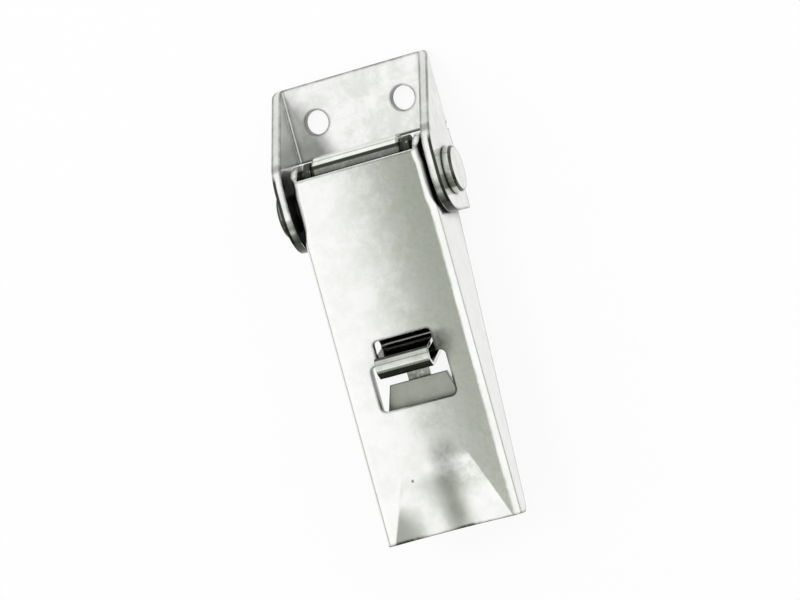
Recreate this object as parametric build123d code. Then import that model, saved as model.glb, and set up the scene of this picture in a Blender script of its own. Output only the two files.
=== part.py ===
from build123d import *
import os
from math import cos, radians, sin, tan

# Over centre toggle latch, closed, in millimetres. The origin is the middle of the two mounting
# holes, on the mounting face. +X goes across the latch, +Y towards the bracket's hole end and
# +Z off the mounting face. The lever's free end and the claw's hook point along -Y.

# Bracket: a U folded from one sheet, with an ear each side
BRACKET_HALF = 18.0
BRACKET_SHEET = 2.0
BRACKET_BEND = 2.5
EAR_INNER = BRACKET_HALF - BRACKET_SHEET
PLATE_FRONT = 8.7
PLATE_REAR = -7.8
PLATE_CORNER = 1.5
HOLE_SPACING = 20.0
HOLE_RADIUS = 2.65
EAR_TOP = 19.9
EAR_REAR = -26.7
EAR_FOOT = 2.1
EAR_REAR_FOOT = 2.0
EAR_CORNER = 1.0
LOBE_RADIUS = 8.8
CROWN_RADIUS = 9.0
SLOPE_RADIUS = 1.2
FRONT_SLOPE = 43.5
RELIEF_WIDTH = 1.2
RELIEF_HEIGHT = 3.2

# Lever pivot in the ears, and claw pivot in the lever's flanges, as (Y, Z)
PIVOT = (-18.0, 10.8)
CLAW_PIVOT = (-11.1, 12.6)
RUNNING_CLEARANCE = 0.05

# Lever: a channel folded from one sheet
LEVER_SHEET = 1.5
LEVER_TOP = 18.2
LEVER_HALF = 15.4
LEVER_PIVOT_HALF = 15.0
LEVER_NOSE_HALF = 14.7
LEVER_NOSE_END = -13.3
LEVER_PIVOT_FLAT = (-14.8, -22.3)
LEVER_BODY_START = -25.0
FLARE_BLEND = 5.0
LEVER_BEND = 1.9
LEVER_INNER_BEND = 0.45
LEVER_END = -92.0
TOP_FACE_START = -11.7
ROUND_END_RADIUS = 9.55
FLANGE_TAPER = 9.7
FLANGE_CORNER = 2.4

# Thumb scoop pressed into the lever's free end, between two creases. The ease is how early it sinks,
# from 0 to 1, and the spread is how far its sheet is drawn past the creases before it is trimmed.
SCOOP_START = -75.8
SCOOP_START_HALF = 7.13
SCOOP_END_HALF = 13.35
SCOOP_DEPTH = 2.4
SCOOP_EASE = 0.85
SCOOP_SPREAD = 1.1

# Window in the lever's top, with a narrower notch at its upper end
WINDOW_HALF = 8.5
WINDOW_UPPER = -54.1
WINDOW_LOWER = -64.0
WINDOW_CORNER = 1.2
NOTCH_HALF = 6.5
NOTCH_UPPER = -49.0
NOTCH_CORNER = 0.8
NOTCH_OVERLAP = 5.0

# Pivot rivets and the washers that space the lever from the ears
RIVET_RADIUS = 2.2
RIVET_HEAD_RADIUS = 5.1
RIVET_HEAD_HEIGHT = 2.0
RIVET_HEAD_BREAK = 0.35
RIVET_TAIL_RADIUS = 3.0
RIVET_TAIL_HEIGHT = 0.75
WASHER_RADIUS = 4.2
WASHER_GAP = 0.05

# Claw: a fork folded from one sheet, with a tongue towards the pivots and a hook at its far end
CLAW_SHEET = 1.5
CLAW_HALF = 12.05
CLAW_BEND = 2.0
CLAW_TOP = 14.0
CLAW_ARM_FOOT = 8.6
ARM_CORNER = 1.5
CLAW_LUG_RADIUS = 2.7
TONGUE_EDGE = -58.8
TONGUE_HALF = 6.4
TONGUE_FLARE = 18.0
WEB_START = -66.5
WEB_END = -73.5
HOOK_HALF = 8.8
HOOK_INNER_RADIUS = 2.6
HOOK_LIP = 6.0
HOOK_CORNER = 2.0

# Claw pin: a fat roller between the arms on thin necks through arms and flanges
ROLLER_RADIUS = 3.5
ROLLER_HALF = 9.9
ROLLER_BREAK = 0.35
COLLAR_RADIUS = 2.3
COLLAR_END = CLAW_HALF - CLAW_SHEET - 0.1
NECK_RADIUS = 1.45
PIN_TAIL_RADIUS = 1.9
PIN_TAIL_HEIGHT = 0.5

# Safety catch: a spring leaf under the lever's top, rolled into a thumb loop that stands up
# through the window, with a tooth that hooks under the edge of the claw's tongue
CATCH_SHEET = 0.8
CATCH_HALF = 6.0
CATCH_ROOT = -34.0
CATCH_LEAF_END = -46.5
CATCH_BEND = 1.0
LOOP_FOOT = (-50.7, 12.6)
LOOP_CREST = (-53.0, 22.1)
LOOP_BROW = (-55.4, 22.4)
LOOP_CHIN = (-56.7, 20.7)
LOOP_SEAM = (-54.2, 11.8)
FLAP_END = (-51.7, 12.4)
TOOTH_HALF = 2.5
TOOTH_TIP = -59.25
TOOTH_GAP = 0.2
SLOT_GAP = 0.2
SLOT_LENGTH = (-55.4, -51.6)
SLOT_HEIGHT = (10.0, 13.2)

# Reach of cutting solids past the latch, and the spare length that a final cut takes off
BEYOND = 150.0
SPARE_LENGTH = 3.0
THROUGH = (-BEYOND, BEYOND)


def side_slab(outline, half_width):
    """Solid of a side outline, drawn in Y and Z, across the latch from -half_width to half_width."""
    return extrude(Plane.YZ * outline, half_width, both=True)


def cross_cylinder(centre, radius, start, end):
    """Cylinder along X on a (Y, Z) centre, from X = start to X = end."""
    disc = Pos(start, 0, 0) * (Plane.YZ * (Pos(*centre) * Circle(radius)))
    return extrude(disc, end - start, dir=(1, 0, 0))


def plan_slab(outline, bottom, top):
    """Solid of a plan outline, drawn in X and Y, from Z = bottom to Z = top."""
    return extrude(Pos(0, 0, bottom) * outline, top - bottom)


def block(x_range, y_range, z_range):
    """Box between two values along each axis."""
    size = [high - low for low, high in (x_range, y_range, z_range)]
    middle = [(high + low) / 2 for low, high in (x_range, y_range, z_range)]
    return Pos(*middle) * Box(*size)


def both_sides(solid):
    """A solid on the right and its mirror image on the left."""
    return solid + mirror(solid, Plane.YZ)


def fold(half_width, sheet, bend, foot, web_top, y_start, y_end):
    """Sheet folded down on both sides of a flat web: a channel between two Y values."""
    across = 2 * half_width
    middle_y = (y_start + y_end) / 2
    length = abs(y_end - y_start)
    height = web_top - foot
    outer = Pos(0, middle_y, foot + height / 2) * Box(across, length, height)
    outer = fillet(outer.edges().filter_by(Axis.Y).group_by(Axis.Z)[-1], bend)
    inner_height = height - sheet
    inner = Pos(0, middle_y, foot + inner_height / 2) * Box(across - 2 * sheet, length, inner_height)
    inner = fillet(inner.edges().filter_by(Axis.Y).group_by(Axis.Z)[-1], bend - sheet)
    return outer - inner


def ear_outline():
    """Side outline of an ear: a sloping front edge, a level crown and a round lobe about the pivot."""
    crown_start = PLATE_FRONT - (EAR_TOP - EAR_FOOT) / tan(radians(FRONT_SLOPE))
    corners = [(EAR_REAR, 0), (EAR_REAR, EAR_TOP), (crown_start, EAR_TOP), (PLATE_FRONT, EAR_FOOT),
               (PLATE_FRONT, 0)]
    edge = FilletPolyline(*corners, radius=[LOBE_RADIUS, CROWN_RADIUS, SLOPE_RADIUS])
    return make_face(edge + Line(corners[-1], corners[0]))


def make_bracket():
    """Mounting plate with its two ears, as one folded sheet."""
    outline = side_slab(ear_outline(), BRACKET_HALF)
    ears = outline - block((-EAR_INNER, EAR_INNER), THROUGH, THROUGH)
    ears -= block(THROUGH, (-BEYOND, PLATE_REAR), (-BEYOND, EAR_REAR_FOOT))
    ears -= block(THROUGH, (PLATE_REAR - RELIEF_WIDTH, BEYOND), (-BEYOND, RELIEF_HEIGHT))
    ears = fillet(ears.edges().filter_by(Axis.X).group_by(Axis.Z)[0].group_by(Axis.Y)[0], EAR_CORNER)
    folded = fold(BRACKET_HALF, BRACKET_SHEET, BRACKET_BEND, 0, RELIEF_HEIGHT, PLATE_REAR, PLATE_FRONT)
    foot = mirror(folded, Plane.XY.offset(RELIEF_HEIGHT / 2)) & outline

    plan = Rectangle(2 * BRACKET_HALF, PLATE_FRONT - EAR_REAR)
    plan = fillet(plan.vertices().group_by(Axis.Y)[-1], PLATE_CORNER)
    plan = Pos(0, (PLATE_FRONT + EAR_REAR) / 2) * plan
    bracket = (ears + foot) & plan_slab(plan, 0, EAR_TOP)
    for side in (-1, 1):
        bracket -= Pos(side * HOLE_SPACING / 2, 0, 0) * Cylinder(HOLE_RADIUS, 2 * EAR_TOP)
    return bracket - cross_cylinder(PIVOT, RIVET_RADIUS, *THROUGH)


def lever_plan(inset):
    """Plan outline of the lever's channel, narrower where it turns between the ears."""
    nose = LEVER_NOSE_HALF - inset
    waist = LEVER_PIVOT_HALF - inset
    body = LEVER_HALF - inset
    flat_start, flat_end = LEVER_PIVOT_FLAT
    bends = [(nose, 0), (nose, LEVER_NOSE_END), (waist, flat_start), (waist, flat_end),
             (body, LEVER_BODY_START), (body, LEVER_END - SPARE_LENGTH)]
    right = FilletPolyline(*bends, radius=FLARE_BLEND)
    left = mirror(right, Plane.YZ)
    near = Line((-nose, 0), (nose, 0))
    far = Line((body, LEVER_END - SPARE_LENGTH), (-body, LEVER_END - SPARE_LENGTH))
    return make_face(right + left + near + far)


def lever_channel():
    """The folded channel before it is cut to length, with its two long bends."""
    shells = []
    for inset, bend in ((0, LEVER_BEND), (LEVER_SHEET, LEVER_INNER_BEND)):
        shell = plan_slab(lever_plan(inset), 0, LEVER_TOP - inset)
        top_edges = shell.edges().group_by(Axis.Z)[-1]
        shells.append(fillet([edge for edge in top_edges if abs(edge.center().X) > LEVER_SHEET], bend))
    outer, inner = shells
    return outer - inner


def lever_side():
    """Side outline of the lever: round about the pivot, then tapering to the free end."""
    taper = radians(FLANGE_TAPER)
    meet_y = PIVOT[0] - ROUND_END_RADIUS * sin(taper)
    meet_z = PIVOT[1] - ROUND_END_RADIUS * cos(taper)
    far_y = LEVER_END - SPARE_LENGTH
    far_z = meet_z + (meet_y - far_y) * tan(taper)
    round_end = CenterArc(PIVOT, ROUND_END_RADIUS, -90 - FLANGE_TAPER, 180 + FLANGE_TAPER)
    crown_z = PIVOT[1] + ROUND_END_RADIUS
    rest = Polyline((PIVOT[0], crown_z), (far_y, crown_z), (far_y, far_z), (meet_y, meet_z))
    return make_face(round_end + rest)


def scoop_plan():
    """Plan outline of the scoop between its two creases."""
    flare = (SCOOP_END_HALF - SCOOP_START_HALF) / (SCOOP_START - LEVER_END)
    far_half = SCOOP_END_HALF + flare * SPARE_LENGTH
    far_y = LEVER_END - SPARE_LENGTH
    corners = [(-SCOOP_START_HALF, SCOOP_START), (SCOOP_START_HALF, SCOOP_START), (far_half, far_y),
               (-far_half, far_y)]
    return make_face(Polyline(*corners, close=True))


def scoop_sheet():
    """Dished sheet of the scoop, one Bezier patch that starts level and sinks between the creases."""
    flare = (SCOOP_END_HALF - SCOOP_START_HALF) / (SCOOP_START - LEVER_END)
    length = SCOOP_START - LEVER_END + SPARE_LENGTH
    at_end = 1 - SPARE_LENGTH / length
    far_depth = SCOOP_DEPTH / (3 * SCOOP_EASE * at_end**2 * (1 - at_end) + at_end**3)
    edge_lift = SCOOP_SPREAD**2 - 1
    middle_sink = SCOOP_SPREAD**2 + 1
    rows = []
    for step, share in enumerate((0, 0, SCOOP_EASE, 1)):
        along = length * step / 3
        reach = SCOOP_SPREAD * (SCOOP_START_HALF + flare * along)
        y = SCOOP_START - along
        depth = far_depth * share
        edge_z = LEVER_TOP + depth * edge_lift
        rows.append([(-reach, y, edge_z), (0, y, LEVER_TOP - depth * middle_sink), (reach, y, edge_z)])
    return extrude(Face.make_bezier_surface(rows), LEVER_SHEET, dir=(0, 0, -1))


def lever_opening():
    """Plan outline of the window with its notch."""
    window = Rectangle(2 * WINDOW_HALF, WINDOW_UPPER - WINDOW_LOWER)
    window = fillet(window.vertices(), WINDOW_CORNER)
    notch = Rectangle(2 * NOTCH_HALF, NOTCH_UPPER - WINDOW_UPPER + NOTCH_OVERLAP)
    notch = fillet(notch.vertices(), NOTCH_CORNER)
    notch_middle = (NOTCH_UPPER + WINDOW_UPPER - NOTCH_OVERLAP) / 2
    return Pos(0, (WINDOW_UPPER + WINDOW_LOWER) / 2) * window + Pos(0, notch_middle) * notch


def make_lever():
    """Channel lever with its window, thumb scoop and rounded flange ends, as one folded sheet."""
    lever = lever_channel() & side_slab(lever_side(), LEVER_HALF)
    nose_inner = LEVER_NOSE_HALF - LEVER_SHEET
    lever -= block((-nose_inner, nose_inner), (TOP_FACE_START, 0), (LEVER_TOP - LEVER_BEND, BEYOND))

    lever -= plan_slab(scoop_plan(), LEVER_TOP - LEVER_SHEET, LEVER_TOP)
    lever += scoop_sheet() & plan_slab(scoop_plan(), 0, LEVER_TOP)
    lever -= block(THROUGH, (-BEYOND, LEVER_END), THROUGH)
    lever -= plan_slab(lever_opening(), LEVER_TOP - 2 * LEVER_SHEET, LEVER_TOP + LEVER_SHEET)
    lever -= cross_cylinder(PIVOT, RIVET_RADIUS + RUNNING_CLEARANCE, *THROUGH)
    lever -= cross_cylinder(CLAW_PIVOT, NECK_RADIUS, *THROUGH)

    foot_z = PIVOT[1] - ROUND_END_RADIUS + (PIVOT[0] - LEVER_END) * tan(radians(FLANGE_TAPER))
    for side in (-1, 1):
        corner = (side * (LEVER_HALF - LEVER_SHEET / 2), LEVER_END, foot_z)
        lever = fillet(lever.edges().filter_by(Axis.X).sort_by_distance(corner)[0], FLANGE_CORNER)
    return lever


def make_rivet(side):
    """Pivot rivet: flat head outside the ear, shank through ear, washer and flange, low tail inside."""
    tail_end = LEVER_PIVOT_HALF - LEVER_SHEET - WASHER_GAP
    head = cross_cylinder(PIVOT, RIVET_HEAD_RADIUS, BRACKET_HALF, BRACKET_HALF + RIVET_HEAD_HEIGHT)
    head = chamfer(head.edges().group_by(Axis.X)[-1], RIVET_HEAD_BREAK)
    shank = cross_cylinder(PIVOT, RIVET_RADIUS, tail_end, BRACKET_HALF)
    tail = cross_cylinder(PIVOT, RIVET_TAIL_RADIUS, tail_end - RIVET_TAIL_HEIGHT, tail_end)
    tail = chamfer(tail.edges().group_by(Axis.X)[0], RIVET_TAIL_HEIGHT / 2)
    rivet = head + shank + tail
    return rivet if side > 0 else mirror(rivet, Plane.YZ)


def make_washer(side):
    """Flat washer on the rivet's shank, between the ear and the lever's flange."""
    start = LEVER_PIVOT_HALF + WASHER_GAP
    washer = cross_cylinder(PIVOT, WASHER_RADIUS, start, EAR_INNER)
    washer -= cross_cylinder(PIVOT, RIVET_RADIUS + RUNNING_CLEARANCE, start - 1, EAR_INNER + 1)
    return washer if side > 0 else mirror(washer, Plane.YZ)


def claw_arm_outline():
    """Side outline of a claw arm, from its eye on the claw pin to the bend beside the web."""
    eye_y, eye_z = CLAW_PIVOT
    top = Line((eye_y, eye_z + CLAW_LUG_RADIUS), (WEB_START, CLAW_TOP - CLAW_BEND))
    end = Line((WEB_START, CLAW_TOP - CLAW_BEND), (WEB_START, CLAW_ARM_FOOT))
    low = Line((WEB_START, CLAW_ARM_FOOT), (eye_y, eye_z - CLAW_LUG_RADIUS))
    eye = CenterArc(CLAW_PIVOT, CLAW_LUG_RADIUS, -90, 180)
    return make_face(top + end + low + eye)


def make_claw():
    """Forked claw with a tongue for the safety catch and a hook for the keeper, as one folded sheet."""
    arm_inner = CLAW_HALF - CLAW_SHEET
    arms = side_slab(claw_arm_outline(), CLAW_HALF) - block((-arm_inner, arm_inner), THROUGH, THROUGH)
    arm_end = WEB_END + CLAW_BEND
    web = fold(CLAW_HALF, CLAW_SHEET, CLAW_BEND, CLAW_ARM_FOOT, CLAW_TOP, WEB_START, arm_end)
    arm_corners = web.edges().filter_by(Axis.X).group_by(Axis.Z)[0].group_by(Axis.Y)[0]
    web = fillet(arm_corners, ARM_CORNER)
    web_bottom = CLAW_TOP - CLAW_SHEET

    root_half = TONGUE_HALF + (TONGUE_EDGE - WEB_START) * tan(radians(TONGUE_FLARE))
    tongue_corners = [(-TONGUE_HALF, TONGUE_EDGE), (TONGUE_HALF, TONGUE_EDGE), (root_half, WEB_START),
                      (-root_half, WEB_START)]
    tongue = plan_slab(make_face(Polyline(*tongue_corners, close=True)), web_bottom, CLAW_TOP)

    turn_radius = HOOK_INNER_RADIUS + CLAW_SHEET / 2
    turn_z = web_bottom - HOOK_INNER_RADIUS
    run_in = Line((arm_end, turn_z + turn_radius), (WEB_END, turn_z + turn_radius))
    turn = CenterArc((WEB_END, turn_z), turn_radius, 90, 180)
    hook = side_slab(trace(run_in + turn, CLAW_SHEET), HOOK_HALF)
    lip = Pos(0, WEB_END + HOOK_LIP / 2) * Rectangle(2 * HOOK_HALF, HOOK_LIP)
    lip = fillet(lip.vertices().group_by(Axis.Y)[-1], HOOK_CORNER)
    lip_top = turn_z - HOOK_INNER_RADIUS
    hook += plan_slab(lip, lip_top - CLAW_SHEET, lip_top)

    claw = arms + web + tongue + hook
    return claw - cross_cylinder(CLAW_PIVOT, NECK_RADIUS + RUNNING_CLEARANCE, *THROUGH)


def make_claw_pin():
    """Shouldered pin: roller between the claw's arms, necks through arms and flanges, riveted ends."""
    pin = cross_cylinder(CLAW_PIVOT, ROLLER_RADIUS, -ROLLER_HALF, ROLLER_HALF)
    pin = chamfer(pin.edges().filter_by(GeomType.CIRCLE), ROLLER_BREAK)
    pin += cross_cylinder(CLAW_PIVOT, COLLAR_RADIUS, -COLLAR_END, COLLAR_END)
    pin += cross_cylinder(CLAW_PIVOT, NECK_RADIUS, -LEVER_NOSE_HALF, LEVER_NOSE_HALF)
    tail = cross_cylinder(CLAW_PIVOT, PIN_TAIL_RADIUS, LEVER_NOSE_HALF, LEVER_NOSE_HALF + PIN_TAIL_HEIGHT)
    tail = chamfer(tail.edges().group_by(Axis.X)[-1], PIN_TAIL_HEIGHT / 2)
    return pin + both_sides(tail)


def make_safety_catch():
    """Spring leaf, rolled thumb loop and tooth, as one folded strip."""
    leaf_z = LEVER_TOP - LEVER_SHEET - CATCH_SHEET / 2
    strip = FilletPolyline((CATCH_ROOT, leaf_z), (CATCH_LEAF_END, leaf_z), LOOP_FOOT, LOOP_CREST,
                           LOOP_BROW, LOOP_CHIN, LOOP_SEAM, FLAP_END, radius=CATCH_BEND)
    slot_half = TOOTH_HALF + SLOT_GAP
    catch = side_slab(trace(strip, CATCH_SHEET), CATCH_HALF)
    catch -= block((-slot_half, slot_half), SLOT_LENGTH, SLOT_HEIGHT)

    wall_middle = ((LOOP_CHIN[0] + LOOP_SEAM[0]) / 2, (LOOP_CHIN[1] + LOOP_SEAM[1]) / 2)
    tooth_z = CLAW_TOP - CLAW_SHEET - TOOTH_GAP - CATCH_SHEET / 2
    tooth = FilletPolyline(wall_middle, (LOOP_SEAM[0], tooth_z), (TOOTH_TIP, tooth_z), radius=CATCH_BEND)
    return catch + side_slab(trace(tooth, CATCH_SHEET), TOOTH_HALF)


NODES = {
    "bracket": make_bracket,
    "lever": make_lever,
    "pivot_rivet_left": lambda: make_rivet(-1),
    "pivot_rivet_right": lambda: make_rivet(1),
    "pivot_washer_left": lambda: make_washer(-1),
    "pivot_washer_right": lambda: make_washer(1),
    "claw": make_claw,
    "claw_pin": make_claw_pin,
    "safety_catch": make_safety_catch,
}

os.makedirs("parts", exist_ok=True)
for name, make in NODES.items():
    export_step(make(), f"parts/{name}.step")
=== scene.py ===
"""Finishes and studio for an over centre toggle latch of folded stainless sheet."""

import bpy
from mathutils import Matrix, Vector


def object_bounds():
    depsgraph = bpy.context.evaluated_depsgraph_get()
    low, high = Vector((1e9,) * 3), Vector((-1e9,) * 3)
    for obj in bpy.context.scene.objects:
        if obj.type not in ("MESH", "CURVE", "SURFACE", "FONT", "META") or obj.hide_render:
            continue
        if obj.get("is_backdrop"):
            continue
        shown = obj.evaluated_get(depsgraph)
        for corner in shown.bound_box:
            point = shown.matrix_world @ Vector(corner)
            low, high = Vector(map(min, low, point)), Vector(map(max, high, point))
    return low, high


bl_info = {
    "name": "Over Centre Toggle Latch",
    "version": (1, 0, 0),
    "blender": (4, 5, 0),
    "location": "View3D > Sidebar > Toggle Latch",
    "description": "Dresses a folded-sheet toggle latch in stainless finishes and sets up its studio",
    "category": "Object",
}

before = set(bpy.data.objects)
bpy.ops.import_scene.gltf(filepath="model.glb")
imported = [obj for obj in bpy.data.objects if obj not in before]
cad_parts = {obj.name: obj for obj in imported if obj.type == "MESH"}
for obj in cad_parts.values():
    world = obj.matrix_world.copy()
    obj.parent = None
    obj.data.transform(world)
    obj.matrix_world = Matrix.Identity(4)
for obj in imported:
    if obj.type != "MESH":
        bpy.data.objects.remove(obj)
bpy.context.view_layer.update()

import math

import bpy
from bpy.props import FloatProperty, FloatVectorProperty, PointerProperty
from mathutils import Matrix, Vector

MILLIMETRE = 0.001

# Sizes and places of the closed latch in millimetres: X across, Y along it towards its mounting
# holes, Z up from its mounting face. FLAT_HALF is half the width that a crown leans, and each side
# of the thumb scoop gets wider by SCOOP_FLARE for each millimetre along the lever.
BRACKET_HALF = 18.0
BRACKET_SHEET = 2.0
EAR_INNER = BRACKET_HALF - BRACKET_SHEET
PLATE_REAR = -7.8
PIVOT_Y = -18.0
PIVOT_Z = 10.8
RIVET_FACE = 20.0
RIVET_HEAD_RADIUS = 5.1
FLAT_HALF = 15.0
LEVER_END = -92.0
WINDOW_HALF = 8.5
WINDOW_LOWER = -64.0
WINDOW_CORNER = 1.2
LOOP_TOP = 22.7
SCOOP_START = -75.8
SCOOP_HALF = 7.13
SCOOP_FLARE = 0.384


# ---------------------------------------------------------------- shader maths

class Signal:
    """A number that varies over a surface: an output socket with arithmetic that adds Math nodes."""

    def __init__(self, nodes, socket):
        self.nodes = nodes
        self.socket = socket

    def maths(self, operation, *values):
        """A Math node on these values, in this order."""
        node = self.nodes.add("ShaderNodeMath", {"operation": operation}, dict(enumerate(values)))
        return node.out("Value")

    def __add__(self, other):
        return self.maths("ADD", self, other)

    def __radd__(self, other):
        return self.maths("ADD", other, self)

    def __sub__(self, other):
        return self.maths("SUBTRACT", self, other)

    def __rsub__(self, other):
        return self.maths("SUBTRACT", other, self)

    def __mul__(self, other):
        return self.maths("MULTIPLY", self, other)

    def __rmul__(self, other):
        return self.maths("MULTIPLY", other, self)

    def larger(self, other):
        """The larger of two numbers."""
        return self.maths("MAXIMUM", self, other)

    def smaller(self, other):
        """The smaller of two numbers."""
        return self.maths("MINIMUM", self, other)

    def size(self):
        """The number without its sign."""
        return self.maths("ABSOLUTE", self)

    def angle(self, other):
        """The angle whose tangent is this number over the other, in degrees."""
        return self.maths("ARCTAN2", self, other) * math.degrees(1)

    def held(self, low, high):
        """The number, held between low and high."""
        return self.larger(low).smaller(high)

    def step(self, low, high, before, after):
        """One number below low, another above high and a smooth step between them."""
        settings = {"interpolation_type": "SMOOTHSTEP"}
        sockets = {"Value": self, "From Min": low, "From Max": high, "To Min": before, "To Max": after}
        return self.nodes.add("ShaderNodeMapRange", settings, sockets).out("Result")

    def rise(self, low, high):
        """0 below low, 1 above high and a smooth step between them."""
        return self.step(low, high, 0.0, 1.0)

    def fall(self, low, high):
        """1 below low, 0 above high and a smooth step between them."""
        return self.step(low, high, 1.0, 0.0)

    def near(self, middle, core, edge):
        """1 within core of the middle, 0 beyond edge and a smooth step between them."""
        return (self - middle).size().fall(core, edge)


class Added:
    """A node that has been added, for picking its outputs."""

    def __init__(self, nodes, node):
        self.nodes = nodes
        self.node = node

    def out(self, name):
        """The output with this name or identifier, as a signal."""
        return Signal(self.nodes, find_socket(self.node.outputs, name))


class Nodes:
    """The node tree of a material or world, emptied and ready to be built."""

    def __init__(self, owner):
        owner.use_nodes = True
        self.tree = owner.node_tree
        self.tree.nodes.clear()

    def add(self, kind, settings=None, sockets=None):
        """A node of this type: its settings come first, then the values or links of its sockets."""
        node = self.tree.nodes.new(kind)
        for name, value in (settings or {}).items():
            setattr(node, name, value)
        for name, value in (sockets or {}).items():
            target = find_socket(node.inputs, name)
            if isinstance(value, Signal):
                self.tree.links.new(value.socket, target)
            else:
                target.default_value = value
        return Added(self, node)

    def blend(self, factor, first, second):
        """A colour between two colours."""
        settings = {"data_type": "RGBA", "clamp_factor": True}
        sockets = {"Factor_Float": factor, "A_Color": colour(first), "B_Color": colour(second)}
        return self.add("ShaderNodeMix", settings, sockets).out("Result_Color")

    def vector(self, operation, result, *values):
        """A Vector Math node on these values, in this order."""
        node = self.add("ShaderNodeVectorMath", {"operation": operation}, dict(enumerate(values)))
        return node.out(result)

    def scaled(self, vector, factor):
        """A vector that is made this many times as long."""
        sockets = {"Vector": vector, "Scale": factor}
        return self.add("ShaderNodeVectorMath", {"operation": "SCALE"}, sockets).out("Vector")

    def stretched(self, vector, factors):
        """A vector whose X, Y and Z are each multiplied by a factor of their own."""
        return self.vector("MULTIPLY", "Vector", vector, factors)

    def length(self, x, y, z):
        """The length of the vector of three numbers."""
        return self.vector("LENGTH", "Value", self.join(x, y, z))

    def distance(self, place, point):
        """The distance between two places."""
        return self.vector("DISTANCE", "Value", place, point)

    def split(self, vector):
        """The X, Y and Z of a vector."""
        parts = self.add("ShaderNodeSeparateXYZ", None, {"Vector": vector})
        return [parts.out(axis) for axis in "XYZ"]

    def join(self, x, y, z):
        """A vector from three numbers."""
        return self.add("ShaderNodeCombineXYZ", None, {"X": x, "Y": y, "Z": z}).out("Vector")

    def noise(self, place, scale, detail=2.0, roughness=0.5):
        """Smooth noise from 0 to 1 at a place, with this many features per unit."""
        sockets = {"Vector": place, "Scale": scale, "Detail": detail, "Roughness": roughness}
        return self.add("ShaderNodeTexNoise", None, sockets).out("Fac")

    def bevelled(self, radius):
        """The surface's normal, rounded over this radius at its edges."""
        return self.add("ShaderNodeBevel", {"samples": BEVEL_SAMPLES}, {"Radius": radius}).out("Normal")

    def openness(self, reach):
        """1 where nothing stands within this reach of the surface, 0 deep in a gap."""
        settings = {"samples": OPENNESS_SAMPLES}
        return self.add("ShaderNodeAmbientOcclusion", settings, {"Distance": reach}).out("AO")


def find_socket(sockets, name):
    """The socket with this number or identifier, or else with this name."""
    if isinstance(name, int):
        return sockets[name]
    for socket in sockets:
        if socket.identifier == name:
            return socket
    return sockets[name]


def colour(value):
    """A colour with its fourth channel, or a link as it is."""
    return value if isinstance(value, Signal) else (*value[:3], 1.0)


# ---------------------------------------------------------------- settings

def finish_properties(tone, cloud_tone, roughness, grain, crown, lean, soil, hollow, cut_half,
                      line, line_width, stain_side, bare_ends=0.0):
    """The properties of one stainless finish, with this piece's defaults."""
    return {
        "tone": FloatVectorProperty(
            name="Tone", description="Colour that the bare metal reflects",
            subtype="COLOR", size=3, min=0.0, max=1.0, default=tone),
        "cloud_tone": FloatVectorProperty(
            name="Cloud Tone", description="Duller colour of the stains that cloud the metal",
            subtype="COLOR", size=3, min=0.0, max=1.0, default=cloud_tone),
        "roughness": FloatProperty(
            name="Roughness", description="How much the tumbled surface blurs reflections",
            subtype="FACTOR", min=0.0, max=1.0, default=roughness),
        "grain": FloatProperty(
            name="Grain", description="Strength of the rolling grain left in the sheet",
            subtype="FACTOR", min=0.0, max=1.0, default=grain),
        "crown": FloatProperty(
            name="Crown", description="How far the flat faces lean outwards at their sides",
            subtype="ANGLE", default=crown),
        "lean": FloatProperty(
            name="Lean", description="How far the flat faces lean to the left as a whole",
            subtype="ANGLE", default=lean),
        # Painted shade in the gaps and inner corners
        "soil": FloatProperty(
            name="Gap Shade", description="How dark the gaps and inner corners are",
            subtype="FACTOR", min=0.0, max=1.0, default=soil),
        "edge": FloatProperty(
            name="Edge Radius", description="Radius worn on the sheared edges",
            subtype="DISTANCE", unit="LENGTH", min=0.0, default=0.35 * MILLIMETRE),
        # Painted shade as a dark line along the sheared edges
        "line": FloatProperty(
            name="Edge Line", description="How dark the thin line along the sheared edges is",
            subtype="FACTOR", min=0.0, max=1.0, default=line),
        "line_width": FloatProperty(
            name="Edge Line Width", description="How far the dark line reaches from a sheared edge",
            subtype="DISTANCE", unit="LENGTH", min=0.0, default=line_width * MILLIMETRE),
        # Painted shade inside corners and channels
        "hollow": FloatProperty(
            name="Hollow Shade", description="How dull the metal is inside corners and channels",
            subtype="FACTOR", min=0.0, max=1.0, default=hollow),
        # Besides placing the stains, this paints the darker reflection on the right half
        "stain_side": FloatProperty(
            name="Stain Side", description="How far the stains keep to the right half",
            subtype="FACTOR", min=0.0, max=1.0, default=stain_side),
        "cut_half": FloatProperty(
            name="Cut Faces", description="Distance from the middle within which upright faces are cuts",
            subtype="DISTANCE", unit="LENGTH", min=0.0, default=cut_half * MILLIMETRE),
        # How far the painted shade is left off the sheared ends that face right
        "bare_ends": FloatProperty(
            name="Bare Ends", description="How clean the sheared ends that face right are",
            subtype="FACTOR", min=0.0, max=1.0, default=bare_ends),
        "cloud_size": FloatProperty(
            name="Cloud Size", description="Width of one cloud of the stains",
            subtype="DISTANCE", unit="LENGTH", min=0.0, default=5.0 * MILLIMETRE),
    }


class BracketFinish(bpy.types.PropertyGroup):
    """Finish of the mounting bracket."""

    __annotations__ = finish_properties(
        tone=(0.89, 0.895, 0.885), cloud_tone=(0.68, 0.695, 0.655), roughness=0.2, grain=0.25,
        crown=math.radians(-1.0), lean=math.radians(2.6), soil=0.9, hollow=0.12, cut_half=15.4,
        line=0.9, line_width=1.1, stain_side=0.3)


class LeverFinish(bpy.types.PropertyGroup):
    """Finish of the operating lever."""

    __annotations__ = finish_properties(
        tone=(0.89, 0.895, 0.88), cloud_tone=(0.50, 0.535, 0.45), roughness=0.19, grain=0.3,
        crown=math.radians(3.4), lean=0.0, soil=0.9, hollow=0.62, cut_half=13.0,
        line=0.85, line_width=1.0, stain_side=0.85)


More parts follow.
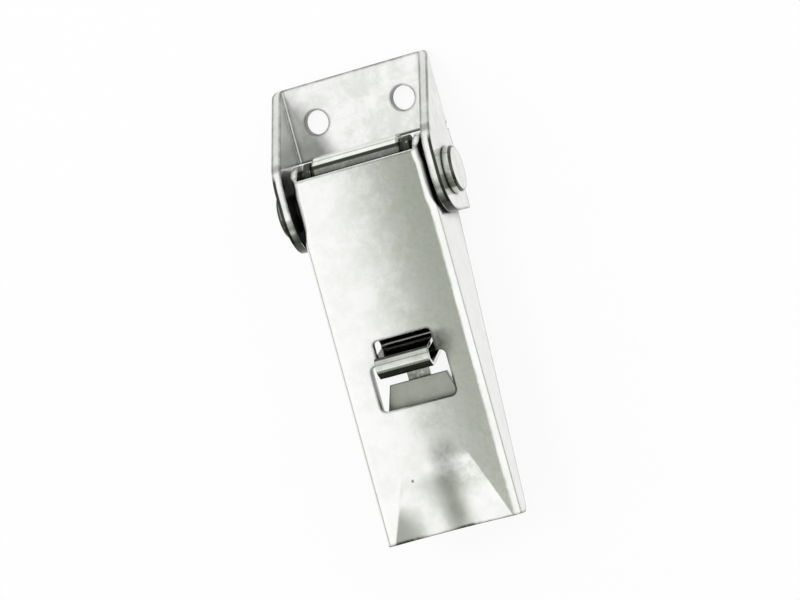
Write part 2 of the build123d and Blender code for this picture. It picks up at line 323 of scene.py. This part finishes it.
class ClawFinish(bpy.types.PropertyGroup):
    """Finish of the claw under the lever."""

    # The claw's tone and cloud tone are the steel darkened as painted shade, for the claw lies under the
    # lever
    __annotations__ = finish_properties(
        tone=(0.49, 0.51, 0.455), cloud_tone=(0.40, 0.42, 0.37), roughness=0.34, grain=0.4,
        crown=0.0, lean=0.0, soil=0.9, hollow=0.55, cut_half=0.0,
        line=0.5, line_width=0.5, stain_side=0.0)


class PivotFinish(bpy.types.PropertyGroup):
    """Finish of the rivets, washers and claw pin."""

    __annotations__ = finish_properties(
        tone=(0.88, 0.885, 0.86), cloud_tone=(0.66, 0.68, 0.62), roughness=0.14, grain=0.2,
        crown=0.0, lean=0.0, soil=1.0, hollow=0.2, cut_half=0.0,
        line=0.95, line_width=0.7, stain_side=0.0)


class CatchFinish(bpy.types.PropertyGroup):
    """Finish of the safety catch."""

    __annotations__ = finish_properties(
        tone=(0.86, 0.87, 0.84), cloud_tone=(0.62, 0.64, 0.58), roughness=0.12, grain=0.2,
        crown=0.0, lean=0.0, soil=1.0, hollow=0.5, cut_half=0.0,
        line=0.4, line_width=0.35, stain_side=0.0, bare_ends=1.0)


class StageSettings(bpy.types.PropertyGroup):
    """Studio: camera, floor, soft light round the latch."""

    distance: FloatProperty(
        name="Camera Distance", description="From the camera to the middle of the latch",
        subtype="DISTANCE", unit="LENGTH", default=0.9)
    lean: FloatProperty(
        name="Camera Lean", description="How far the camera leans to the latch's right side",
        subtype="ANGLE", default=math.radians(15.5))
    roll: FloatProperty(
        name="Camera Roll", description="How far the picture turns the latch anticlockwise",
        subtype="ANGLE", default=math.radians(15.37))
    lens: FloatProperty(
        name="Lens", description="Focal length on a 36 mm wide sensor",
        subtype="DISTANCE_CAMERA", unit="CAMERA", default=187.5)
    aim: FloatVectorProperty(
        name="Aim", description="Point that the camera looks at",
        subtype="XYZ", unit="LENGTH", size=3, default=(-0.0029, -0.0418, 0.0008))
    floor_size: FloatProperty(
        name="Floor Size", description="Side of the square floor",
        subtype="DISTANCE", unit="LENGTH", default=3.0)
    floor_tone: FloatVectorProperty(
        name="Floor Tone", description="Colour of the pale floor",
        subtype="COLOR", size=3, min=0.0, max=1.0, default=(0.92, 0.92, 0.92))
    card_tone: FloatVectorProperty(
        name="Card Tone", description="Colour of the white cards that the metal mirrors",
        subtype="COLOR", size=3, min=0.0, max=2.0, default=(1.12, 1.12, 1.12))
    room_tone: FloatVectorProperty(
        name="Room Tone", description="Colour of the dim room between the cards",
        subtype="COLOR", size=3, min=0.0, max=2.0, default=(0.29, 0.31, 0.255))
    lamp_power: FloatProperty(
        name="Lamp Power", description="Power of the soft lamp that casts the shadow",
        subtype="POWER", unit="POWER", default=2.0)


# ---------------------------------------------------------------- finishes

# Colours of the painted shade in inner corners, on sheared edges and in gaps, and of the marks, which are
# mostly painted shade
CORNER_SHADE_TONE = (0.20, 0.215, 0.17)
EDGE_SHADE_TONE = (0.07, 0.078, 0.06)
GAP_SHADE_TONE = (0.012, 0.013, 0.009)
MARK_AND_SHADE_TONE = (0.035, 0.038, 0.03)

# How far the painted shade in gaps and in corners reaches, and how finely both and the rounded
# edges are sampled
GAP_REACH = 3.0 * MILLIMETRE
CORNER_REACH = 9.0 * MILLIMETRE
OPENNESS_SAMPLES = 8
BEVEL_SAMPLES = 6

# How the rolling grain and the streaks in the thumb loop's painted shade are drawn out, how deep the
# relief of a finish is and how strong the lever's dish beside its scoop is
GRAIN_STRETCH = (2.2, 0.12, 2.2)
STREAK_STRETCH = (0.25, 2.0, 2.0)
RELIEF_DEPTH = 0.02 * MILLIMETRE
DISH_STRENGTH = 0.009

# Places of the marks and of the painted shade and reflections on the latch, in millimetres
OUTER_EDGE_SHADE_START = 17.25
EAR_ENDS_START = 4.0
HEAD_SHADE_END = 5.6
DARK_SPOT_PLACE = (17.0, -8.0, 17.9)
PLATE_SHADE_CORNER = (-14.5, 8.0)
PLATE_SHADE_SLANT = 0.36
SPECK = (-6.0, -79.6, 18.0)
STREAK_X = 1.9
STREAK_START = -62.0
STREAK_MIDDLE = -78.0
LOOP_SHADOW_PLACE = (6.8, -52.6, 18.2)
LOOP_SHADOW_SIDE = 6.0
LOOP_SHADOW_UPPER = -49.0
LEFT_END_SHADE = -10.5
MIDDLE_END_SHADE = 2.5
RIM_LEFT = -9.0
RIM_UPPER = -59.0
LUG_END = -17.0
NOSE_SHADE_EDGE = -9.35
PALER_EDGE = -10.1
CREST_SHADE = -55.2
CREST_DARK_LINE = -53.9
TOOTH_START = -55.5
TOOTH_TOP = 13.0


def bracket_shade_marks(nodes, place, facing, patches):
    """Painted shade on the ears' sheared ends and round the rivet heads, a dark spot near the lever's bend,
    painted shade and reflection of the left ear on the plate, and painted shade along the plate's rear
    edge.
    """
    x, y, z = nodes.split(place)
    # The worn and torn strips are painted shade on the ears' sheared ends
    out = x.size()
    worn = out.rise(EAR_INNER + 0.1, EAR_INNER + 0.3) * facing[1].fall(-0.8, -0.45)
    outer_shaded_part = out.rise(OUTER_EDGE_SHADE_START, OUTER_EDGE_SHADE_START + 0.2) * facing[1].fall(0.3, 0.5)
    ends = facing[0].size().fall(0.3, 0.6) * z.rise(EAR_ENDS_START, EAR_ENDS_START + 2.0)
    ends = ends * worn.larger(outer_shaded_part) * 0.97

    # Painted shade where the rivet heads meet the ears' outer faces
    radial = nodes.length(0.0, (y - PIVOT_Y) * 1.12, z - PIVOT_Z)
    ring = radial.rise(RIVET_HEAD_RADIUS - 0.2, RIVET_HEAD_RADIUS)
    ring = ring * radial.fall(HEAD_SHADE_END, HEAD_SHADE_END + 0.7)
    ring = ring * out.rise(BRACKET_HALF - 0.3, BRACKET_HALF - 0.1) * 0.96

    # A dark spot on the ears near the lever's bend
    spot_x, spot_y, spot_z = DARK_SPOT_PLACE
    apart = nodes.length((out - spot_x) * 0.2, y - spot_y, z - spot_z)
    dark_spot = apart.fall(0.3, 1.6) * 0.55

    # Painted shade and reflection of the left ear on the plate, and painted shade along the plate's rear
    # edge
    plate = facing[2].rise(0.9, 0.98) * z.fall(BRACKET_SHEET + 1.0, BRACKET_SHEET + 2.0)
    shade_corner_x, shade_corner_y = PLATE_SHADE_CORNER
    down = shade_corner_y - y
    depth = down.rise(0.0, 5.0) * (0.38 + patches * 0.14 + down.rise(8.0, 14.0) * 0.22)
    plate_shade = (x - shade_corner_x - down * PLATE_SHADE_SLANT).fall(-1.5, 3.5) * depth
    brim = y.fall(PLATE_REAR + 0.4, PLATE_REAR + 0.65) * 0.75
    return ends.larger(ring).larger(plate * plate_shade.larger(brim)).larger(dark_spot)


def lever_shade_marks(nodes, place, facing, patches):
    """A speck in the thumb scoop, a painted dark reflection down it, painted shade on the free end's edge,
    a painted shadow of the loop beside the loop, and painted shade along the window's lower edge.
    """
    x, y, _ = nodes.split(place)
    speck = nodes.distance(place, SPECK).fall(0.12, 0.5) * 0.75

    # Painted dark reflection down the middle of the thumb scoop
    reflection_along = y.fall(STREAK_START - 8.0, STREAK_START) * 0.3 + y.near(STREAK_MIDDLE, 2.0, 7.5) * 0.75
    dark_reflection = x.near(STREAK_X, 0.8, 4.4) * reflection_along * (0.24 + patches * 0.3)

    # Painted shadow of the thumb loop on the lever's top beside it
    beside_loop = x.rise(LOOP_SHADOW_SIDE, LOOP_SHADOW_SIDE + 0.6) * y.fall(LOOP_SHADOW_UPPER - 1.5, LOOP_SHADOW_UPPER)
    loop_shadow = beside_loop * nodes.distance(place, LOOP_SHADOW_PLACE).fall(0.8, 5.5) * (0.4 + patches * 0.55)

    # Painted shade on the free end's sheared edge, at two places across it
    worn = x.near(LEFT_END_SHADE, 1.5, 4.5).larger(x.near(MIDDLE_END_SHADE, 0.5, 4.0))
    end_shade = y.fall(LEVER_END + 0.2, LEVER_END + 0.9) * worn * (0.35 + patches.rise(0.35, 0.6) * 0.6)

    # Painted shade along the window's lower edge and lower right corner
    past_side = (x - (WINDOW_HALF - WINDOW_CORNER)).larger(0.0)
    past_end = (WINDOW_LOWER + WINDOW_CORNER - y).larger(0.0)
    outside = nodes.length(past_side, past_end, 0.0) - WINDOW_CORNER
    rim = outside.rise(-0.1, 0.0) * outside.fall(0.2, 0.5) * facing[2].rise(0.8, 0.95) * 0.9
    rim = rim * y.fall(RIM_UPPER - 1.5, RIM_UPPER) * x.rise(RIM_LEFT, RIM_LEFT + 15.0)
    return speck.larger(dark_reflection).larger(end_shade).larger(rim).larger(loop_shadow)


def claw_lug_shade(nodes, place, facing, patches):
    """Painted shade on the claw's lugs round the pin."""
    _, y, _ = nodes.split(place)
    return y.rise(LUG_END, LUG_END + 1.5) * (0.93 - patches.rise(0.58, 0.66) * 0.8)


def pin_nose_shade(nodes, place, facing, patches):
    """Painted shade on the claw pin's side that the lever's nose covers, a little paler further from the
    bracket.
    """
    _, y, _ = nodes.split(place)
    paler = y.fall(PALER_EDGE - 0.3, PALER_EDGE) * (0.24 + patches.rise(0.45, 0.75) * 0.2)
    return y.fall(NOSE_SHADE_EDGE - 0.2, NOSE_SHADE_EDGE) * (0.99 - paler)


def rivet_head_shade(nodes, place, facing, patches):
    """Painted shade on the left rivet's head and in the break of both heads' edges."""
    x, y, z = nodes.split(place)
    # The scale mask is painted shade on the left rivet's head
    left_head = x.fall(-BRACKET_HALF - 0.3, -BRACKET_HALF - 0.1)
    scale = left_head * facing[2].rise(-0.2, 0.4) * (0.45 + patches * 0.5)
    radial = nodes.length(0.0, y - PIVOT_Y, z - PIVOT_Z)
    brink = x.size().rise(RIVET_FACE - 0.65, RIVET_FACE - 0.5)
    brink = brink * radial.rise(RIVET_HEAD_RADIUS - 0.6, RIVET_HEAD_RADIUS - 0.4)
    return scale.larger(brink * facing[2].rise(-0.3, 0.2) * 0.9)


def loop_shade(nodes, place, facing, patches):
    """Painted shade on the thumb loop's back and chin, broken by paler streaks along its bends, painted
    shade and a dark line on its crest, and mottled painted shade on the tooth.
    """
    _, y, z = nodes.split(place)
    drawn_out = nodes.stretched(place, STREAK_STRETCH)
    streaks = nodes.noise(drawn_out, 1.4, detail=3.0).rise(0.55, 0.80) * 0.4
    back = facing[1].rise(0.30, 0.75) * (1.0 - streaks)
    front = facing[1].fall(-0.6, -0.3) * (0.95 - streaks)
    shade = y.rise(CREST_SHADE, CREST_SHADE + 2.4) * 0.5
    dark_line = y.near(CREST_DARK_LINE, 0.05, 0.2) * 0.65
    crest = facing[2].rise(0.8, 0.95) * z.rise(LOOP_TOP - 1.2, LOOP_TOP - 0.9) * shade.larger(dark_line)
    tooth = y.fall(TOOTH_START - 1.0, TOOTH_START) * z.fall(TOOTH_TOP, TOOTH_TOP + 1.0)
    tooth = tooth * patches.rise(0.3, 0.7) * 0.6
    return back.larger(front).larger(crest).larger(tooth)


def flat_lean(x, y, settings):
    """Sideways lean of the flat faces, from their crown and their lean as a whole."""
    return x * (math.tan(settings.crown) / FLAT_HALF) - math.tan(settings.lean)


def dished_lean(x, y, settings):
    """Sideways lean of the lever's top, with the pressed roundness near the start of its scoop."""
    down = SCOOP_START - y
    half = down * SCOOP_FLARE + SCOOP_HALF
    inside = (half - x.size()).rise(-0.05, 0.05)
    dish = x.larger(0.0) * inside * down.rise(0.0, 3.0) * down.fall(6.0, 15.0) * DISH_STRENGTH
    return flat_lean(x, y, settings) - dish


def edge_line(nodes, place, settings):
    """Painted shade: a dark, uneven line along the sheared edges."""
    straight = nodes.add("ShaderNodeNewGeometry").out("Normal")
    turned = nodes.vector("DOT_PRODUCT", "Value", nodes.bevelled(settings.line_width), straight)
    uneven = nodes.noise(place, 0.35).rise(0.35, 0.60) * 0.35 + 0.65
    return turned.fall(0.93, 0.992) * uneven * settings.line


def leaning_normal(nodes, x, y, facing, settings, sideways):
    """The surface's normal with its worn edges rounded and its flat faces leaning sideways."""
    lean = sideways(x, y, settings) * facing[2].size().rise(0.85, 0.97)
    normal = nodes.vector("ADD", "Vector", nodes.bevelled(settings.edge), nodes.join(lean, 0.0, 0.0))
    return nodes.vector("NORMALIZE", "Vector", normal)


def steel_finish(name, settings, marks_and_shade, sideways=flat_lean):
    """Tumbled stainless sheet: clouded, faintly grained along Y, worn at its edges, with painted shade on
    its edges, in its gaps and corners and in its marks.
    """
    material = bpy.data.materials.new(name)
    nodes = Nodes(material)
    coordinates = nodes.add("ShaderNodeTexCoord")
    place = nodes.scaled(coordinates.out("Object"), 1 / MILLIMETRE)
    x, y, _ = nodes.split(place)
    facing = nodes.split(coordinates.out("Normal"))

    cloud_scale = MILLIMETRE / settings.cloud_size
    clouds = nodes.noise(place, cloud_scale, detail=4.0, roughness=0.6).rise(0.36, 0.68)
    patches = nodes.noise(place, 4 * cloud_scale, detail=3.0, roughness=0.6)
    grain = nodes.noise(nodes.stretched(place, GRAIN_STRETCH), 1.6, detail=3.0, roughness=0.65)
    pits = nodes.noise(place, 2.6, detail=1.0).rise(0.72, 0.80)

    # Where the sheared ends face right, bare leaves off the painted shade
    bare = 1.0 - facing[0].rise(0.85, 0.97) * settings.bare_ends
    line = edge_line(nodes, place, settings) * bare
    cut_half = settings.cut_half / MILLIMETRE
    # Painted shade on the upright cut faces of the sheet near the middle
    cut = x.size().fall(cut_half - 0.2, cut_half) * facing[2].size().fall(0.25, 0.60) * settings.line
    # Painted shade in gaps, from how open the surface is
    soil = nodes.openness(GAP_REACH).fall(0.28, 0.82) * bare * settings.soil
    # Painted shade inside corners and channels
    shade = nodes.openness(CORNER_REACH).fall(0.25, 0.90) * bare * settings.hollow

    # The stains are the metal's own clouding; keeping them to the right half of the flat faces also paints
    # the darker reflection there
    flat = facing[2].size().rise(0.975, 0.995)
    side = (x.rise(-7.0, 9.0) * flat - 1.0) * settings.stain_side + 1.0
    stain_and_shade = (clouds * 0.55 + patches * 0.35 + pits * 0.3) * side
    metal = nodes.blend(stain_and_shade, settings.tone, settings.cloud_tone)
    metal = nodes.blend(shade, metal, CORNER_SHADE_TONE)
    metal = nodes.blend(line.larger(cut), metal, EDGE_SHADE_TONE)
    metal = nodes.blend(soil, metal, GAP_SHADE_TONE)
    # The marks are mostly painted shade; the lever's speck is the only real one
    metal = nodes.blend(marks_and_shade(nodes, place, facing, patches), metal, MARK_AND_SHADE_TONE)

    blur = (clouds - 0.5) * 0.06 + (grain - 0.5) * (0.10 * settings.grain) + soil * 0.2
    relief = grain * settings.grain + clouds * 0.6 + patches * 0.25 - pits * 0.5
    bump = nodes.add("ShaderNodeBump", None, {
        "Strength": 0.35, "Distance": RELIEF_DEPTH, "Height": relief,
        "Normal": leaning_normal(nodes, x, y, facing, settings, sideways)})
    shader = nodes.add("ShaderNodeBsdfPrincipled", None, {
        "Base Color": metal, "Metallic": 1.0, "Roughness": blur + settings.roughness,
        "Normal": bump.out("Normal")})
    nodes.add("ShaderNodeOutputMaterial", None, {"Surface": shader.out("BSDF")})
    return material


def dress(node_names, material):
    """Gives these nodes of the latch one material."""
    for name in node_names:
        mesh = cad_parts[name].data
        mesh.materials.clear()
        mesh.materials.append(material)


class LATCH_OT_bracket(bpy.types.Operator):
    """Finish the mounting bracket"""

    bl_idname = "latch.bracket"
    bl_label = "Bracket"

    def execute(self, context):
        finish = steel_finish("bracket_steel_finish", context.scene.latch_bracket, bracket_shade_marks)
        dress(["bracket"], finish)
        return {"FINISHED"}


class LATCH_OT_lever(bpy.types.Operator):
    """Finish the operating lever"""

    bl_idname = "latch.lever"
    bl_label = "Lever"

    def execute(self, context):
        finish = steel_finish("lever_steel_finish", context.scene.latch_lever, lever_shade_marks, dished_lean)
        dress(["lever"], finish)
        return {"FINISHED"}


class LATCH_OT_claw(bpy.types.Operator):
    """Finish the claw"""

    bl_idname = "latch.claw"
    bl_label = "Claw"

    def execute(self, context):
        dress(["claw"], steel_finish("claw_steel_finish", context.scene.latch_claw, claw_lug_shade))
        return {"FINISHED"}


class LATCH_OT_pivots(bpy.types.Operator):
    """Finish the rivets, washers and claw pin"""

    bl_idname = "latch.pivots"
    bl_label = "Pivots"

    def execute(self, context):
        settings = context.scene.latch_pivots
        turned = [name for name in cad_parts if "rivet" in name or "washer" in name]
        dress(turned, steel_finish("rivet_steel_finish", settings, rivet_head_shade))
        dress(["claw_pin"], steel_finish("pin_steel_finish", settings, pin_nose_shade))
        return {"FINISHED"}


class LATCH_OT_catch(bpy.types.Operator):
    """Finish the safety catch"""

    bl_idname = "latch.catch"
    bl_label = "Safety Catch"

    def execute(self, context):
        finish = steel_finish("spring_steel_finish", context.scene.latch_catch, loop_shade)
        dress(["safety_catch"], finish)
        return {"FINISHED"}


# ---------------------------------------------------------------- studio

# What the metal mirrors, in degrees from straight up: the soft inner edges of the left and right
# card and the soft edges of a dim patch, across the latch
LEFT_CARD = (-17.7, -11.0)
RIGHT_CARD = (-6.5, 2.5)
PATCH_LEFT = (-3.0, 6.0)
PATCH_RIGHT = (30.0, 45.0)

# The same along the latch: where the cards' edges slant, the patch's end, a grey shelf and the
# dark wall behind it
NEAR_SLANT = (-6.0, -3.0)
FAR_SLANT = (-22.0, -12.0)
PATCH_END = (-13.0, -6.0)
SHELF_NEAR = (-37.0, -31.0)
SHELF_FAR = (-54.0, -46.0)
DARK_WALL = (-64.0, -50.0)

SHELF_TONE = (0.26, 0.285, 0.235)
DARK_TONE = (0.20, 0.21, 0.18)
WHITE = (1.0, 1.0, 1.0)

# The camera's sensor in millimetres, and the other sizes and places of the studio in metres: how
# near the camera sees, the floor's depth below the latch, the edge of its bright middle, and the
# lamp. FLOOR_GLOW is the part of the floor's white that is its own.
SENSOR_WIDTH = 36.0
CLIP_START = 0.05
FLOOR_GAP = 0.2 * MILLIMETRE
FLOOR_GLOW = 0.9
FLOOR_MIDDLE_Y = -0.04
BRIGHT_FLOOR = (0.10, 0.25)
LAMP_PLACE = (-0.45, 0.25, 0.9)
LAMP_SIZE = 0.5


def make_camera(settings):
    """Camera above the latch, leaning to its right side and rolled."""
    camera = bpy.data.objects.new("studio_camera", bpy.data.cameras.new("studio_camera"))
    bpy.context.scene.collection.objects.link(camera)
    camera.data.sensor_width = SENSOR_WIDTH
    camera.data.lens = settings.lens
    camera.data.clip_start = CLIP_START
    turn = Matrix.Rotation(settings.lean, 4, "Y") @ Matrix.Rotation(-settings.roll, 4, "Z")
    back = Vector((math.sin(settings.lean), 0.0, math.cos(settings.lean)))
    camera.matrix_world = Matrix.Translation(Vector(settings.aim) + settings.distance * back) @ turn
    bpy.context.scene.camera = camera


def make_floor(settings):
    """Pale floor under the mounting face, white to the eye and in mirrors, with a soft shadow."""
    half = settings.floor_size / 2
    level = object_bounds()[0].z - FLOOR_GAP
    corners = [(-half, -half, level), (half, -half, level), (half, half, level), (-half, half, level)]
    mesh = bpy.data.meshes.new("studio_floor")
    mesh.from_pydata(corners, [], [(0, 1, 2, 3)])
    floor = bpy.data.objects.new("studio_floor", mesh)
    bpy.context.scene.collection.objects.link(floor)
    floor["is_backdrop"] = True

    material = bpy.data.materials.new("studio_floor")
    nodes = Nodes(material)
    path = nodes.add("ShaderNodeLightPath")
    mirrored = path.out("Is Glossy Ray")
    seen = path.out("Is Camera Ray").larger(mirrored).larger(path.out("Is Transmission Ray"))
    x, y, _ = nodes.split(nodes.add("ShaderNodeTexCoord").out("Object"))
    far = nodes.length(x, y - FLOOR_MIDDLE_Y, 0.0).rise(*BRIGHT_FLOOR) * mirrored
    paper = nodes.add("ShaderNodeBsdfDiffuse", None, {"Color": colour(settings.floor_tone)})
    glow = nodes.add("ShaderNodeEmission", None, {"Color": colour(WHITE), "Strength": 1.0})
    shade = nodes.add("ShaderNodeEmission", None, {"Color": colour(DARK_TONE), "Strength": 1.0})
    light = nodes.add("ShaderNodeMixShader", None, {
        0: far, 1: glow.out("Emission"), 2: shade.out("Emission")})
    shader = nodes.add("ShaderNodeMixShader", None, {
        0: seen * FLOOR_GLOW, 1: paper.out("BSDF"), 2: light.out("Shader")})
    nodes.add("ShaderNodeOutputMaterial", None, {"Surface": shader.out("Shader")})
    mesh.materials.append(material)


def make_room(settings):
    """White cards round a dim room, mirrored by the metal; the eye sees plain white."""
    world = bpy.data.worlds.new("studio_room")
    bpy.context.scene.world = world
    nodes = Nodes(world)
    sideways, endways, upwards = nodes.split(nodes.add("ShaderNodeTexCoord").out("Generated"))
    height = upwards.larger(0.001)
    across = sideways.angle(height)
    along = endways.angle(height)

    near_slant = along.held(*NEAR_SLANT) - NEAR_SLANT[1]
    far_slant = along.held(*FAR_SLANT) - FAR_SLANT[1]
    left_card = (across - (far_slant * 1.44 - near_slant)).fall(*LEFT_CARD)
    right_card = (across - near_slant * 3.8).rise(*RIGHT_CARD)
    patch = across.rise(*PATCH_LEFT) * across.fall(*PATCH_RIGHT) * along.fall(*PATCH_END)
    level = (upwards.rise(0.05, 0.20) + endways.size().rise(0.6, 0.9)).smaller(1.0)
    lit = left_card.larger(right_card) * (1.0 - patch * 0.9) * (0.25 + level * 0.75)
    room = nodes.blend(lit, settings.room_tone, settings.card_tone)
    room = nodes.blend(along.fall(*SHELF_NEAR) * along.rise(*SHELF_FAR), room, SHELF_TONE)
    room = nodes.blend(along.fall(*DARK_WALL), room, DARK_TONE)

    path = nodes.add("ShaderNodeLightPath")
    seen = nodes.blend(path.out("Is Camera Ray"), room, WHITE)
    background = nodes.add("ShaderNodeBackground", None, {"Color": seen, "Strength": 1.0})
    nodes.add("ShaderNodeOutputWorld", None, {"Surface": background.out("Background")})


def make_lamp(settings):
    """Soft lamp above the latch's upper left, for the shadow on the floor."""
    data = bpy.data.lights.new("soft_lamp", "AREA")
    data.shape = "DISK"
    data.size = LAMP_SIZE
    data.energy = settings.lamp_power
    lamp = bpy.data.objects.new("soft_lamp", data)
    bpy.context.scene.collection.objects.link(lamp)
    lamp.location = LAMP_PLACE
    lamp.rotation_euler = (-Vector(LAMP_PLACE)).to_track_quat("-Z", "Y").to_euler()
    lamp.visible_glossy = False
    lamp.visible_camera = False


class LATCH_OT_stage(bpy.types.Operator):
    """Set up the camera, floor, room and lamp"""

    bl_idname = "latch.stage"
    bl_label = "Stage"

    def execute(self, context):
        settings = context.scene.latch_stage
        context.scene.view_settings.view_transform = "Standard"
        make_camera(settings)
        make_floor(settings)
        make_room(settings)
        make_lamp(settings)
        return {"FINISHED"}


# ---------------------------------------------------------------- add-on

SETTINGS = {
    "latch_bracket": BracketFinish,
    "latch_lever": LeverFinish,
    "latch_claw": ClawFinish,
    "latch_pivots": PivotFinish,
    "latch_catch": CatchFinish,
    "latch_stage": StageSettings,
}
OPERATORS = [
    LATCH_OT_bracket, LATCH_OT_lever, LATCH_OT_claw, LATCH_OT_pivots, LATCH_OT_catch, LATCH_OT_stage]


class LATCH_PT_panel(bpy.types.Panel):
    """Steps that dress the latch, in order, with their settings"""

    bl_idname = "LATCH_PT_panel"
    bl_label = "Toggle Latch"
    bl_space_type = "VIEW_3D"
    bl_region_type = "UI"
    bl_category = "Toggle Latch"

    def draw(self, context):
        for operator, name in zip(OPERATORS, SETTINGS):
            box = self.layout.box()
            box.operator(operator.bl_idname)
            group = getattr(context.scene, name)
            for key in group.bl_rna.properties.keys():
                if key not in ("rna_type", "name"):
                    box.prop(group, key)


def register():
    """Adds the classes to Blender and the settings to every scene."""
    for name, group in SETTINGS.items():
        bpy.utils.register_class(group)
        setattr(bpy.types.Scene, name, PointerProperty(type=group))
    for operator in OPERATORS:
        bpy.utils.register_class(operator)
    bpy.utils.register_class(LATCH_PT_panel)


def unregister():
    """Takes away what register added."""
    bpy.utils.unregister_class(LATCH_PT_panel)
    for operator in reversed(OPERATORS):
        bpy.utils.unregister_class(operator)
    for name, group in SETTINGS.items():
        delattr(bpy.types.Scene, name)
        bpy.utils.unregister_class(group)


def main():
    """Dresses the latch, piece by piece, and sets up the studio."""
    register()
    for operator in OPERATORS:
        family, name = operator.bl_idname.split(".")
        getattr(getattr(bpy.ops, family), name)()


if __name__ == "__main__":
    main()
